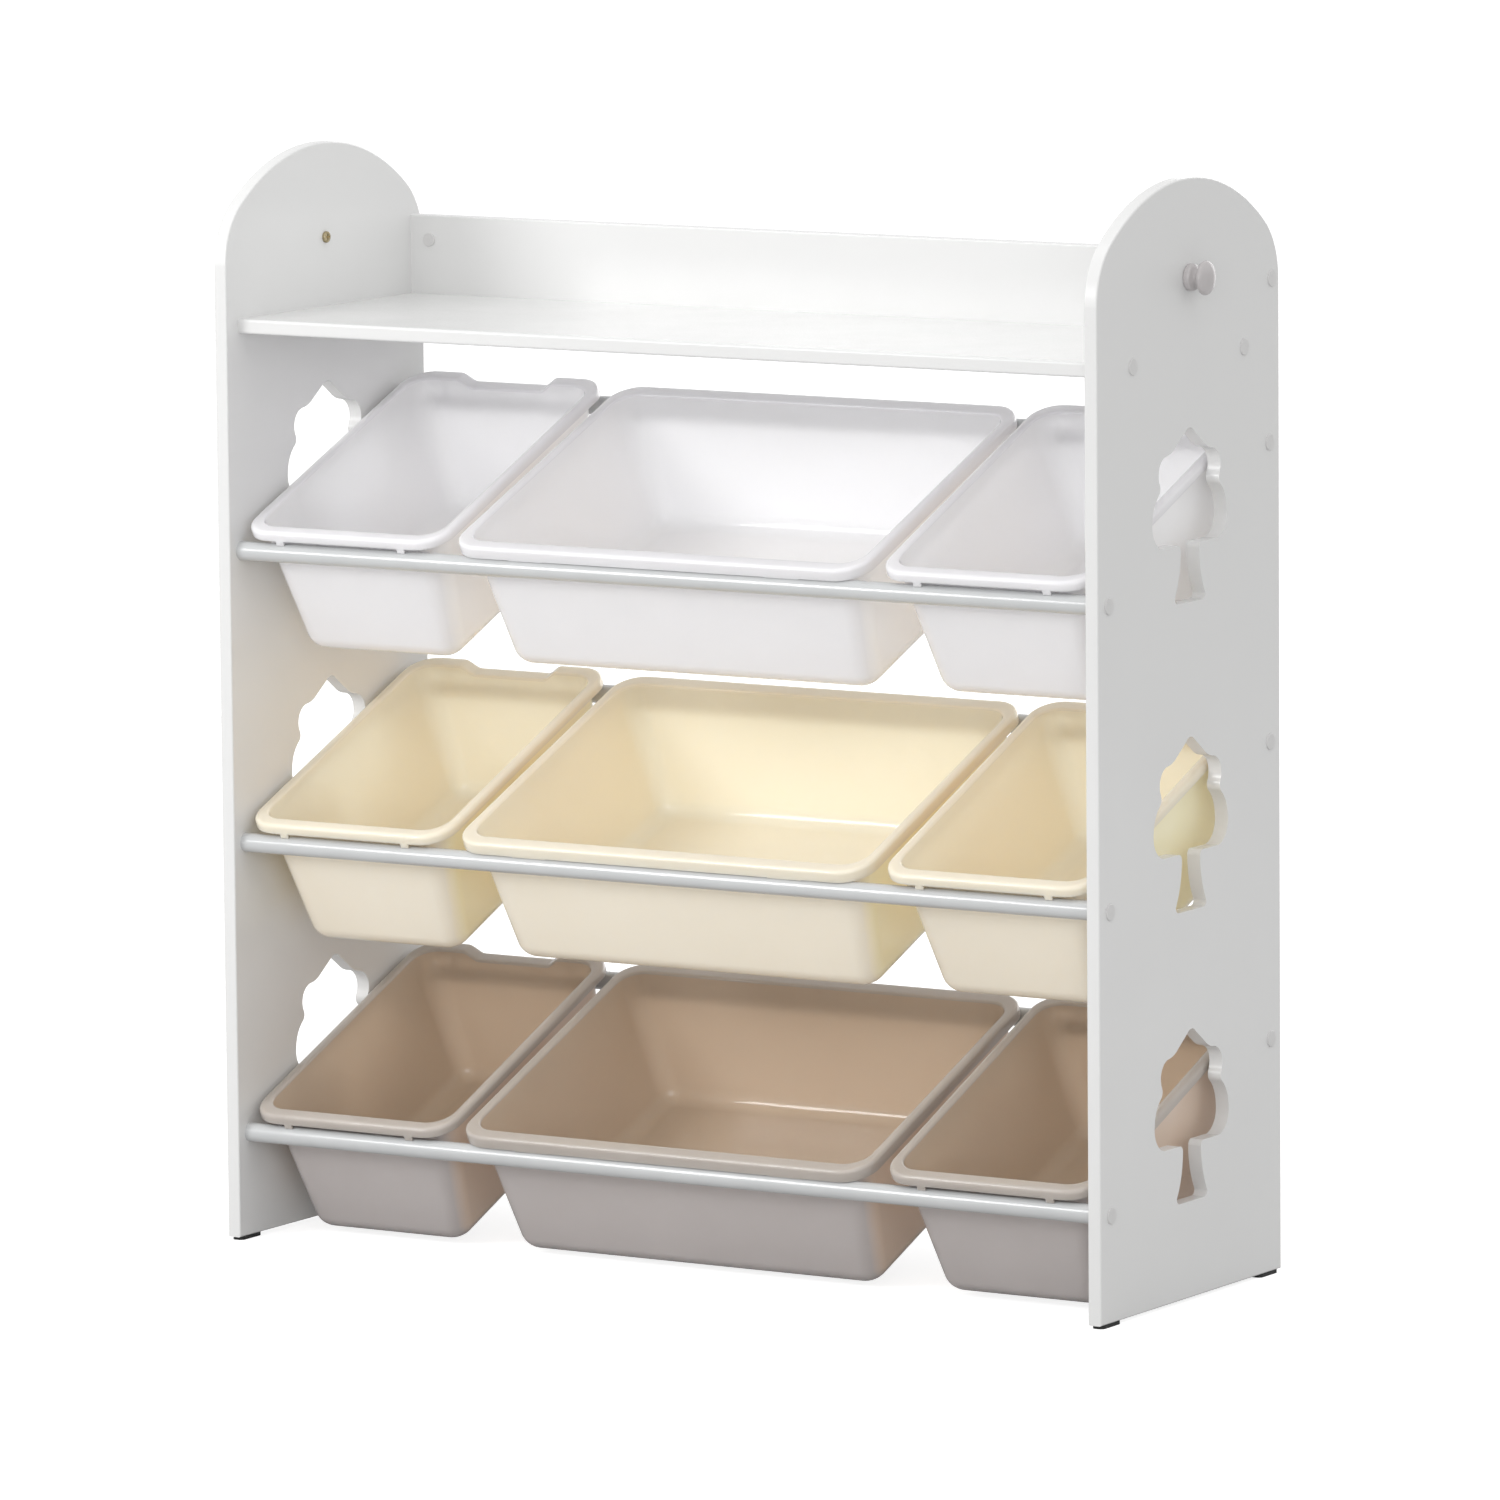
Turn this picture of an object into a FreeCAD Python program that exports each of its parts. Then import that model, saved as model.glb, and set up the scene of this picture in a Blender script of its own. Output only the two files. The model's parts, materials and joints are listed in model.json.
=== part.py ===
import FreeCAD, Part
import Sketcher
import math
import os

# Toy storage rack: two arched side panels, a top shelf with a back rail, six steel tubes in three
# sloping pairs, and nine bins that hang on the tubes. Millimetres, X to the right, Y to the back,
# Z up, with the origin on the floor under the middle of the rack.

doc = FreeCAD.newDocument("toy_storage_rack")
sheet = doc.addObject("Spreadsheet::Sheet", "Sizes")

driving_sizes = [
    # side panels
    ("overall_width", "844"),
    ("panel_depth", "298"),
    ("panel_height", "910"),
    ("panel_thickness", "12"),
    ("panel_edge_radius", "1.5"),
    ("arch_rise", "92"),
    ("arch_corner_radius", "62"),
    # tree-shaped cut-outs
    ("tree_height", "141"),
    ("tree_half_width", "61"),
    ("bottom_tree_drop", "8"),
    ("middle_tree_drop", "15.5"),
    ("top_tree_drop", "10.5"),
    # foot pads
    ("foot_thickness", "3"),
    ("foot_length", "30"),
    ("foot_width", "11"),
    ("foot_corner_radius", "4"),
    ("foot_inset", "4"),
    ("nail_diameter", "2"),
    ("nail_length", "12"),
    ("nail_head_diameter", "5"),
    ("nail_head_thickness", "1"),
    ("nail_recess_depth", "1.2"),
    # shelf and back rail
    ("shelf_drop", "138"),
    ("shelf_setback", "17"),
    ("shelf_back_setback", "19"),
    ("shelf_thickness", "12"),
    ("shelf_edge_radius", "2"),
    ("shelf_bolt_inset", "40"),
    ("rail_height", "79"),
    ("rail_thickness", "12"),
    ("rail_edge_radius", "1.5"),
    ("rail_bolt_inset", "21"),
    ("rail_dowel_inset", "22"),
    # tubes
    ("rod_diameter", "16"),
    ("rod_wall", "1.2"),
    ("rod_setback", "17"),
    ("rod_rise", "106"),
    ("lowest_rod_height", "90.5"),
    ("top_rod_drop", "193.5"),
    ("plug_length", "22"),
    # bolts, barrel nuts, dowels and covers
    ("fit_clearance", "0.05"),
    ("hole_clearance", "0.2"),
    ("bolt_diameter", "6"),
    ("bolt_head_diameter", "11"),
    ("bolt_head_height", "3.5"),
    ("bolt_socket_width", "4"),
    ("bolt_socket_depth", "2.5"),
    ("bolt_length", "36"),
    ("rod_bolt_length", "28"),
    ("nut_diameter", "10"),
    ("nut_length", "8"),
    ("nut_inset", "19"),
    ("dowel_diameter", "6"),
    ("dowel_length", "28"),
    ("dowel_panel_depth", "7.5"),
    ("cap_diameter", "13.5"),
    ("cap_thickness", "1.2"),
    ("cap_edge_radius", "0.5"),
    ("cap_stem_length", "2"),
    ("nut_cap_diameter", "11.5"),
    # knobs
    ("knob_drop", "80"),
    ("knob_projection", "19"),
    ("knob_base_diameter", "22"),
    ("knob_base_thickness", "5.5"),
    ("knob_neck_diameter", "12"),
    ("knob_head_diameter", "28"),
    ("knob_head_thickness", "10"),
    ("knob_edge_radius", "3.5"),
    ("knob_base_radius", "1.2"),
    ("knob_bore_depth", "13"),
    ("knob_screw_diameter", "4"),
    ("knob_screw_reach", "11"),
    ("knob_screw_head_diameter", "9.5"),
    ("knob_screw_head_height", "2.6"),
    ("knob_screw_edge_radius", "1"),
    ("cross_slot_length", "5.4"),
    ("cross_slot_width", "1.2"),
    ("cross_slot_depth", "1.4"),
    # bins
    ("bin_wall", "2.4"),
    ("bin_depth", "104"),
    ("bin_front_draft", "3.25"),
    ("bin_side_draft", "7.6"),
    ("bin_front_gap", "1.2"),
    ("bin_back_gap", "0.8"),
    ("bin_corner_radius", "22"),
    ("bin_base_corner_radius", "18"),
    ("bin_base_radius", "15.5"),
    ("rim_overhang", "9"),
    ("rim_corner_radius", "26"),
    ("seat_clearance", "0.3"),
    ("bin_left_gap", "4.5"),
    ("bin_first_gap", "10"),
    ("bin_second_gap", "15"),
    ("bin_right_gap", "3"),
    ("large_rim_top", "19"),
    ("large_rim_height", "10.2"),
    ("large_rim_radius", "3"),
    ("large_front_reach", "3.6"),
    ("large_back_reach", "4.1"),
    ("large_tab_width", "32"),
    ("large_tab_depth", "2.4"),
    ("large_tab_inset", "74"),
    ("small_bin_width", "196.6"),
    ("small_rim_top", "20.4"),
    ("small_rim_height", "8.2"),
    ("small_rim_radius", "3.6"),
    ("small_front_reach", "2.5"),
    ("small_back_reach", "3.6"),
    ("small_tab_width", "7"),
    ("small_tab_depth", "4"),
    ("small_tab_inset", "38.3"),
    ("small_back_drop", "3.6"),
    ("notch_base_width", "68"),
    ("notch_top_width", "98"),
    ("notch_depth", "7"),
    ("notch_lip_height", "3"),
    # how far a cut runs past the face that it opens
    ("cut_overrun", "1"),
]

for row, (alias, number) in enumerate(driving_sizes, start=1):
    sheet.set("A%d" % row, alias)
    sheet.set("B%d" % row, number)
    sheet.setAlias("B%d" % row, alias)
doc.recompute()

match_tolerance = float(sheet.get("fit_clearance")) / 100


# A size that knows its number and the sheet formula that gives it, so that one sum does for both.
class Measure:
    def __init__(self, number, formula):
        self.number = number
        self.formula = formula

    def __add__(self, other):
        return Measure(self.number + other.number, "(%s + %s)" % (self.formula, other.formula))

    def __sub__(self, other):
        return Measure(self.number - other.number, "(%s - %s)" % (self.formula, other.formula))

    def __mul__(self, other):
        other = as_measure(other)
        return Measure(self.number * other.number, "(%s * %s)" % (self.formula, other.formula))

    def __truediv__(self, other):
        other = as_measure(other)
        return Measure(self.number / other.number, "(%s / %s)" % (self.formula, other.formula))

    def __neg__(self):
        return Measure(-self.number, "(-1 * %s)" % self.formula)


def as_measure(value):
    if isinstance(value, Measure):
        return value
    return Measure(value, repr(value))


def size(alias):
    return Measure(float(sheet.get(alias)), "Sizes." + alias)


def root(measure):
    return Measure(math.sqrt(measure.number), "sqrt(%s)" % measure.formula)


def angle_of(slope):
    return Measure(math.degrees(math.atan(slope.number)), "atan(%s)" % slope.formula)


def cosine(angle):
    return Measure(math.cos(math.radians(angle.number)), "cos(%s)" % angle.formula)


def sine(angle):
    return Measure(math.sin(math.radians(angle.number)), "sin(%s)" % angle.formula)


def tangent(angle):
    return Measure(math.tan(math.radians(angle.number)), "tan(%s)" % angle.formula)


zero = Measure(0.0, "0")
diagonal_share = math.sqrt(0.5)
overrun = size("cut_overrun")
fit = size("fit_clearance")
hole = size("hole_clearance")

along_x = FreeCAD.Rotation(FreeCAD.Vector(0, 1, 0), 90)
against_x = FreeCAD.Rotation(FreeCAD.Vector(0, 1, 0), -90)
along_y = FreeCAD.Rotation(FreeCAD.Vector(1, 0, 0), -90)
along_z = FreeCAD.Rotation()


# Helpers for sketches, features, primitives and groups

def put(thing, place, rotation=along_z):
    thing.Placement = FreeCAD.Placement(FreeCAD.Vector(), rotation)
    for axis, measure in zip("xyz", place):
        thing.setExpression("Placement.Base." + axis, measure.formula)


def new_body(label):
    body = doc.addObject("PartDesign::Body", label)
    body.Label = label
    return body


def new_sketch(body, name, role, level=zero):
    sketch = body.newObject("Sketcher::SketchObject", name)
    for feature in body.Origin.OriginFeatures:
        if feature.Role == role:
            sketch.AttachmentSupport = [(feature, "")]
    sketch.MapMode = "FlatFace"
    sketch.setExpression("AttachmentOffset.Base.z", level.formula)
    return sketch


def pin(sketch, geometry, point, across, along):
    for kind, measure, axis in (("DistanceX", across, -2), ("DistanceY", along, -1)):
        if measure.formula == "0":
            sketch.addConstraint(Sketcher.Constraint("PointOnObject", geometry, point, axis))
        elif measure.number >= 0:
            rule = Sketcher.Constraint(kind, -1, 1, geometry, point, measure.number)
            index = sketch.addConstraint(rule)
            sketch.setExpression("Constraints[%d]" % index, measure.formula)
        else:
            rule = Sketcher.Constraint(kind, geometry, point, -1, 1, -measure.number)
            index = sketch.addConstraint(rule)
            sketch.setExpression("Constraints[%d]" % index, (-measure).formula)


def spot(pair):
    return FreeCAD.Vector(pair[0].number, pair[1].number, 0)


# Each edge is its far end and, for an arc, a point in its middle.
def outline(sketch, start, edges):
    here = start
    for there, middle in edges:
        ends = (here, there)
        if middle is None:
            index = sketch.addGeometry(Part.LineSegment(spot(here), spot(there)))
        else:
            turn = (spot(middle) - spot(here)).cross(spot(there) - spot(middle))
            if turn.z < 0:
                ends = (there, here)
            index = sketch.addGeometry(Part.Arc(spot(ends[0]), spot(middle), spot(ends[1])))
        for point, (across, along) in enumerate(ends, start=1):
            pin(sketch, index, point, across, along)
        here = there


def polygon(sketch, points):
    outline(sketch, points[0], [(point, None) for point in points[1:] + points[:1]])


def circle(sketch, centre, radius):
    index = sketch.addGeometry(Part.Circle(spot(centre), FreeCAD.Vector(0, 0, 1), radius.number))
    pin(sketch, index, 3, *centre)
    rule = sketch.addConstraint(Sketcher.Constraint("Radius", index, radius.number))
    sketch.setExpression("Constraints[%d]" % rule, radius.formula)


def rounded_box(sketch, half_width, front, back, radius):
    left = -half_width
    right = half_width
    inset = radius * (1 - diagonal_share)
    outline(sketch, (left + radius, front), [
        ((right - radius, front), None),
        ((right, front + radius), (right - inset, front + inset)),
        ((right, back - radius), None),
        ((right - radius, back), (right - inset, back - inset)),
        ((left + radius, back), None),
        ((left, back - radius), (left + inset, back - inset)),
        ((left, front + radius), None),
        ((left + radius, front), (left + inset, front + inset)),
    ])


def pad(body, sketch, length, name):
    feature = body.newObject("PartDesign::Pad", name)
    feature.Profile = sketch
    feature.setExpression("Length", length.formula)
    doc.recompute()
    return feature


def pocket(body, sketch, depth, name, forward=False):
    before = body.Tip.Shape.Volume
    feature = body.newObject("PartDesign::Pocket", name)
    feature.Profile = sketch
    feature.Reversed = forward
    feature.setExpression("Length", depth.formula)
    doc.recompute()
    if feature.Shape.Volume >= before:
        raise RuntimeError(name + " of " + body.Label + " cuts nothing")
    return feature


def loft(body, kind, sections, name):
    feature = body.newObject(kind, name)
    feature.Profile = sections[0]
    feature.Sections = sections[1:]
    feature.Ruled = True
    doc.recompute()
    return feature


def round_edges(body, base, radius, chosen, name):
    numbers = [index for index, edge in enumerate(base.Shape.Edges, start=1) if chosen(edge)]
    feature = body.newObject("PartDesign::Fillet", name)
    feature.Base = (base, ["Edge%d" % index for index in numbers])
    feature.setExpression("Radius", radius.formula)
    doc.recompute()
    return feature


# Tells whether an edge lies wholly at one value of X, Y or Z.
def lies_at(axis, measure):
    def chosen(edge):
        return all(abs(getattr(point, axis) - measure.number) < match_tolerance for point in
                   (edge.BoundBox.getPoint(0), edge.BoundBox.getPoint(6)))
    return chosen


def revolved(label, points):
    body = new_body(label)
    sketch = new_sketch(body, "profile", "XZ_Plane")
    polygon(sketch, points)
    turn = body.newObject("PartDesign::Revolution", "turning")
    turn.Profile = sketch
    turn.ReferenceAxis = (sketch, ["V_Axis"])
    doc.recompute()
    return body


def cylinder(name, radius, length, place=(zero, zero, zero), rotation=along_z):
    shape = doc.addObject("Part::Cylinder", name)
    shape.setExpression("Radius", radius.formula)
    shape.setExpression("Height", length.formula)
    put(shape, place, rotation)
    return shape


def block(name, length, width, height, place):
    shape = doc.addObject("Part::Box", name)
    shape.setExpression("Length", length.formula)
    shape.setExpression("Width", width.formula)
    shape.setExpression("Height", height.formula)
    put(shape, place)
    return shape


def fuse(name, shapes):
    whole = doc.addObject("Part::MultiFuse", name)
    whole.Shapes = shapes
    return whole


def cut(label, base, tools):
    result = doc.addObject("Part::Cut", label)
    result.Label = label
    result.Base = base
    result.Tool = tools[0] if len(tools) == 1 else fuse(label + "_holes", tools)
    return result


def group(label, master, places, rotation):
    copies = []
    for number, place in enumerate(places, start=1):
        copy = doc.addObject("App::Link", "%s_%d" % (label, number))
        copy.LinkedObject = master
        put(copy, place, rotation)
        copies.append(copy)
    return bundle(label, copies)


def bundle(label, members):
    whole = doc.addObject("Part::Compound", label)
    whole.Label = label
    whole.Links = members
    return whole


nodes = []

# Places that several pieces share

half_width = size("overall_width") / 2
inner_half = half_width - size("panel_thickness")
half_depth = size("panel_depth") / 2
rod_reach = half_depth - size("rod_setback")
rod_radius = size("rod_diameter") / 2
rod_bore = rod_radius - size("rod_wall")
bolt_radius = size("bolt_diameter") / 2
nut_radius = size("nut_diameter") / 2
rows = ["bottom", "middle", "top"]
panel_top = size("foot_thickness") + size("panel_height")
shelf_top = panel_top - size("shelf_drop")
row_pitch = (shelf_top - size("top_rod_drop") - size("lowest_rod_height")) / (len(rows) - 1)
front_heights = [size("lowest_rod_height") + row_pitch * row for row in range(len(rows))]
back_heights = [height + size("rod_rise") for height in front_heights]
rod_places = [(-rod_reach, height) for height in front_heights]
rod_places += [(rod_reach, height) for height in back_heights]

shelf_front = -half_depth + size("shelf_setback")
shelf_back = half_depth - size("shelf_back_setback")
shelf_underside = shelf_top - size("shelf_thickness")
shelf_middle = shelf_top - size("shelf_thickness") / 2
shelf_bolt_places = [(shelf_front + size("shelf_bolt_inset"), shelf_middle),
                     (shelf_back - size("shelf_bolt_inset"), shelf_middle)]
rail_middle = shelf_back + size("rail_thickness") / 2
rail_top = shelf_underside + size("rail_height")
rail_bolt_place = (rail_middle, rail_top - size("rail_bolt_inset"))
rail_dowel_place = (rail_middle, shelf_underside + size("rail_dowel_inset"))
bolt_places = rod_places + shelf_bolt_places + [rail_bolt_place]
knob_place = (zero, panel_top - size("knob_drop"))
foot_reach = half_depth - size("foot_inset") - size("foot_length") / 2
nail_hole = size("nail_diameter") / 2 + fit


# Side panels

tree_shares = [
    # far end of each stretch up one side of the tree, then a point in the middle of an arc
    ((0.33, 0.0), None),
    ((0.41, 0.035), (0.39, 0.01)),
    ((0.245, 0.30), (0.28, 0.175)),
    ((0.33, 0.335), (0.27, 0.325)),
    ((0.74, 0.335), None),
    ((1.0, 0.49), (0.935, 0.385)),
    ((0.82, 0.645), (0.94, 0.585)),
    ((0.795, 0.70), (0.787, 0.67)),
    ((0.62, 0.86), (0.795, 0.81)),
    ((0.36, 0.905), (0.475, 0.875)),
    ((0.115, 0.978), None),
]
tree_tip_share = 1.0


def tree_outline(sketch, trunk_base):
    def at(side, share):
        across = size("tree_half_width") * (side * share[0])
        return (across, trunk_base + size("tree_height") * share[1])

    ends = []
    for side in (1, -1):
        edges = []
        for far, middle in tree_shares:
            edges.append((at(side, far), at(side, middle) if middle else None))
        outline(sketch, (zero, trunk_base), edges)
        ends.append(edges[-1][0])
    tip = (zero, trunk_base + size("tree_height") * tree_tip_share)
    outline(sketch, ends[0], [(ends[1], tip)])


def left_panel():
    thickness = size("panel_thickness")
    sole = size("foot_thickness")
    body = new_body("left_side_panel")
    spring = size("panel_height") - size("arch_rise")
    corner = size("arch_corner_radius")
    corner_reach = half_depth - corner
    corner_rise = size("arch_rise") - corner
    crown_drop = (corner_reach * corner_reach - corner_rise * corner_rise) / (corner_rise * 2)
    slope = angle_of(crown_drop / corner_reach)

    def on_corner(side, angle):
        return ((corner_reach + corner * cosine(angle)) * side, spring + corner * sine(angle))

    sketch = new_sketch(body, "arched_outline", "YZ_Plane")
    outline(sketch, (-half_depth, zero), [
        ((half_depth, zero), None),
        ((half_depth, spring), None),
        (on_corner(1, slope), on_corner(1, slope / 2)),
        (on_corner(-1, slope), (zero, size("panel_height"))),
        ((-half_depth, spring), on_corner(-1, slope / 2)),
        ((-half_depth, zero), None),
    ])
    board = pad(body, sketch, thickness, "board")

    def on_face(edge):
        return lies_at("x", zero)(edge) or lies_at("x", thickness)(edge)

    round_edges(body, board, size("panel_edge_radius"), on_face, "soft_edges")

    for row_name, height in zip(rows, front_heights):
        sketch = new_sketch(body, row_name + "_tree", "YZ_Plane", thickness)
        tree_outline(sketch, height - size(row_name + "_tree_drop") - sole)
        pocket(body, sketch, thickness + overrun, row_name + "_tree_cut")

    sketch = new_sketch(body, "bolt_holes", "YZ_Plane", thickness)
    for across, height in bolt_places:
        circle(sketch, (across, height - sole), bolt_radius + hole)
    circle(sketch, (knob_place[0], knob_place[1] - sole), size("knob_screw_diameter") / 2 + fit)
    pocket(body, sketch, thickness + overrun, "bolt_hole_cut")

    sketch = new_sketch(body, "head_recesses", "YZ_Plane")
    for across, height in bolt_places:
        circle(sketch, (across, height - sole), size("bolt_head_diameter") / 2 + hole)
    pocket(body, sketch, size("bolt_head_height"), "head_recess_cut", forward=True)

    sketch = new_sketch(body, "dowel_hole", "YZ_Plane", thickness)
    circle(sketch, (rail_dowel_place[0], rail_dowel_place[1] - sole), size("dowel_diameter") / 2 + fit)
    pocket(body, sketch, size("dowel_panel_depth") + hole, "dowel_hole_cut")

    sketch = new_sketch(body, "nail_holes", "XY_Plane")
    for reach in (-foot_reach, foot_reach):
        circle(sketch, (thickness / 2, reach), nail_hole)
    depth = size("nail_length") - sole + size("nail_recess_depth") + hole
    pocket(body, sketch, depth, "nail_hole_cut", forward=True)
    put(body, (-half_width, zero, sole))
    return body


def mirrored(label, source):
    copy = doc.addObject("Part::Mirroring", label)
    copy.Label = label
    copy.Source = source
    copy.Normal = FreeCAD.Vector(1, 0, 0)
    copy.Base = FreeCAD.Vector(0, 0, 0)
    return copy


left_board = left_panel()
nodes.append(left_board)
nodes.append(mirrored("right_side_panel", left_board))


# Shelf and back rail, with bores for their bolts, barrel nuts and dowels

# A blind bore that starts in the board's end at one side of the rack and runs towards the middle.
def end_bores(name, place, radius, depth):
    across, height = place
    left = cylinder(name + "_left", radius, depth + overrun, (-inner_half - overrun, across, height), along_x)
    right = cylinder(name + "_right", radius, depth + overrun, (inner_half + overrun, across, height),
                     against_x)
    return [left, right]


nut_across = inner_half - size("nut_inset")
bolt_bore_depth = size("bolt_length") + size("bolt_head_height") - size("panel_thickness") + hole
nut_bore_depth = (size("shelf_thickness") + size("nut_length")) / 2 + fit
rail_nut_bore_depth = (size("rail_thickness") + size("nut_length")) / 2 + fit


def top_shelf():
    blank = new_body("shelf_blank")
    sketch = new_sketch(blank, "plan", "XY_Plane")
    polygon(sketch, [(-inner_half, shelf_front), (inner_half, shelf_front), (inner_half, shelf_back),
                     (-inner_half, shelf_back)])
    board = pad(blank, sketch, size("shelf_thickness"), "board")
    round_edges(blank, board, size("shelf_edge_radius"), front_length, "soft_front")
    put(blank, (zero, zero, shelf_underside))
    tools = []
    for across, height in shelf_bolt_places:
        tools += end_bores("shelf_bolt_bore", (across, height), bolt_radius + hole, bolt_bore_depth)
        for side in (-1, 1):
            place = (nut_across * side, across, shelf_underside - overrun)
            tools.append(cylinder("shelf_nut_bore", nut_radius + fit, nut_bore_depth + overrun, place))
    return cut("top_shelf", blank, tools)


def front_length(edge):
    return lies_at("y", shelf_front)(edge) and edge.Length > size("shelf_thickness").number


def back_rail():
    blank = new_body("rail_blank")
    sketch = new_sketch(blank, "plan", "XY_Plane")
    rear = shelf_back + size("rail_thickness")
    polygon(sketch, [(-inner_half, shelf_back), (inner_half, shelf_back), (inner_half, rear),
                     (-inner_half, rear)])
    board = pad(blank, sketch, size("rail_height"), "board")

    def top_length(edge):
        return lies_at("z", size("rail_height"))(edge) and edge.Length > size("rail_thickness").number

    round_edges(blank, board, size("rail_edge_radius"), top_length, "soft_top")
    put(blank, (zero, zero, shelf_underside))
    tools = end_bores("rail_bolt_bore", rail_bolt_place, bolt_radius + hole, bolt_bore_depth)
    dowel_depth = size("dowel_length") - size("dowel_panel_depth") + hole
    tools += end_bores("rail_dowel_bore", rail_dowel_place, size("dowel_diameter") / 2 + fit, dowel_depth)
    for side in (-1, 1):
        place = (nut_across * side, shelf_back - overrun, rail_bolt_place[1])
        tools.append(cylinder("rail_nut_bore", nut_radius + fit, rail_nut_bore_depth + overrun, place, along_y))
    return cut("back_rail", blank, tools)


nodes.append(top_shelf())
nodes.append(back_rail())


# Tubes and the threaded plugs in their ends

def rod(label, across, height):
    span = inner_half * 2
    tube = cylinder(label + "_outside", rod_radius, span, (-inner_half, across, height), along_x)
    bore_place = (-inner_half - overrun, across, height)
    bore = cylinder(label + "_bore", rod_bore, span + overrun * 2, bore_place, along_x)
    return cut(label, tube, [bore])


for row, name in enumerate(rows):
    nodes.append(rod("front_rod_" + name, -rod_reach, front_heights[row]))
    nodes.append(rod("back_rod_" + name, rod_reach, back_heights[row]))

plug = cut("rod_plug", cylinder("plug_outside", rod_bore - fit, size("plug_length")),
           [cylinder("plug_thread", bolt_radius + fit, size("plug_length") + overrun * 2,
                     (zero, zero, -overrun))])


# Fasteners, modelled once along Z and then set in their places

def socket_bolt(name, length):
    head = cylinder(name + "_head", size("bolt_head_diameter") / 2, size("bolt_head_height"))
    shank = cylinder(name + "_shank", bolt_radius, length, (zero, zero, size("bolt_head_height")))
    socket = doc.addObject("Part::Prism", name + "_socket")
    socket.Polygon = 6
    socket.setExpression("Circumradius", (size("bolt_socket_width") / root(as_measure(3))).formula)
    socket.setExpression("Height", (size("bolt_socket_depth") + overrun).formula)
    put(socket, (zero, zero, -overrun))
    return cut(name, fuse(name + "_solid", [head, shank]), [socket])


def cover(label, radius, stem_radius):
    body = revolved(label, [
        (zero, -size("cap_thickness")),
        (radius, -size("cap_thickness")),
        (radius, zero),
        (stem_radius, zero),
        (stem_radius, size("cap_stem_length")),
        (zero, size("cap_stem_length")),
    ])
    outer = lies_at("z", -size("cap_thickness"))
    round_edges(body, body.Tip, size("cap_edge_radius"), outer, "soft_rim")
    return body


def barrel_nut(name):
    barrel = cylinder(name + "_barrel", nut_radius, size("nut_length"), (zero, zero, -size("nut_length") / 2))
    thread = cylinder(name + "_thread", bolt_radius + fit, size("nut_diameter") + overrun * 2,
                      (-nut_radius - overrun, zero, zero), along_x)
    return cut(name, barrel, [thread])


rod_bolt = socket_bolt("rod_bolt", size("rod_bolt_length"))
board_bolt = socket_bolt("board_bolt", size("bolt_length"))
screw_cap = cover("screw_cap", size("cap_diameter") / 2, size("bolt_socket_width") / 2 - fit)
nut_cap = cover("nut_cap", size("nut_cap_diameter") / 2, nut_radius)
cross_nut = barrel_nut("cross_nut")
dowel = cylinder("dowel", size("dowel_diameter") / 2, size("dowel_length"))


def at_panel(reach, places):
    return [(reach, across, height) for across, height in places]


for name, reach, end, rotation in (("left", -half_width, -inner_half, along_x),
                                   ("right", half_width, inner_half, against_x)):
    nodes.append(group(name + "_rod_plugs", plug, at_panel(end, rod_places), rotation))
    nodes.append(group(name + "_rod_bolts", rod_bolt, at_panel(reach, rod_places), rotation))
    nodes.append(group(name + "_shelf_bolts", board_bolt, at_panel(reach, shelf_bolt_places), rotation))
    nodes.append(group(name + "_rail_bolt", board_bolt, at_panel(reach, [rail_bolt_place]), rotation))
    nodes.append(group(name + "_screw_caps", screw_cap, at_panel(reach, bolt_places), rotation))
    inward = 1 if reach.number < 0 else -1
    dowel_start = end - size("dowel_panel_depth") * inward
    nodes.append(group(name + "_rail_dowel", dowel, at_panel(dowel_start, [rail_dowel_place]), rotation))

sides = (-nut_across, nut_across)
shelf_nut_places = [(side, across, height) for side in sides for across, height in shelf_bolt_places]
nodes.append(group("shelf_barrel_nuts", cross_nut, shelf_nut_places, along_z))
rail_nut_places = [(side, rail_middle, rail_bolt_place[1]) for side in sides]
nodes.append(group("rail_barrel_nuts", cross_nut, rail_nut_places, along_y))
nut_cap_places = [(side, shelf_back, rail_bolt_place[1]) for side in sides]
nodes.append(group("rail_nut_caps", nut_cap, nut_cap_places, along_y))


# Knobs on the outer faces, each held by a cross-head screw from inside

def knob(label):
    bore = size("knob_screw_diameter") / 2 + fit
    base = size("knob_base_diameter") / 2
    neck = size("knob_neck_diameter") / 2
    head = size("knob_head_diameter") / 2
    top = size("knob_projection")
    head_start = top - size("knob_head_thickness")
    body = revolved(label, [
        (bore, zero),
        (base, zero),
        (base, size("knob_base_thickness")),
        (neck, size("knob_base_thickness")),
        (neck, head_start),
        (head, head_start),
        (head, top),
        (zero, top),
        (zero, size("knob_bore_depth")),
        (bore, size("knob_bore_depth")),
    ])

    def around(radius, level):
        def chosen(edge):
            wide = abs(edge.BoundBox.XMax - radius.number) < match_tolerance
            return wide and lies_at("z", level)(edge)
        return chosen

    def head_rim(edge):
        return around(head, top)(edge) or around(head, head_start)(edge)

    soft = round_edges(body, body.Tip, size("knob_edge_radius"), head_rim, "soft_head")
    foot_rim = around(base, size("knob_base_thickness"))
    round_edges(body, soft, size("knob_base_radius"), foot_rim, "soft_base")
    return body


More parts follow.
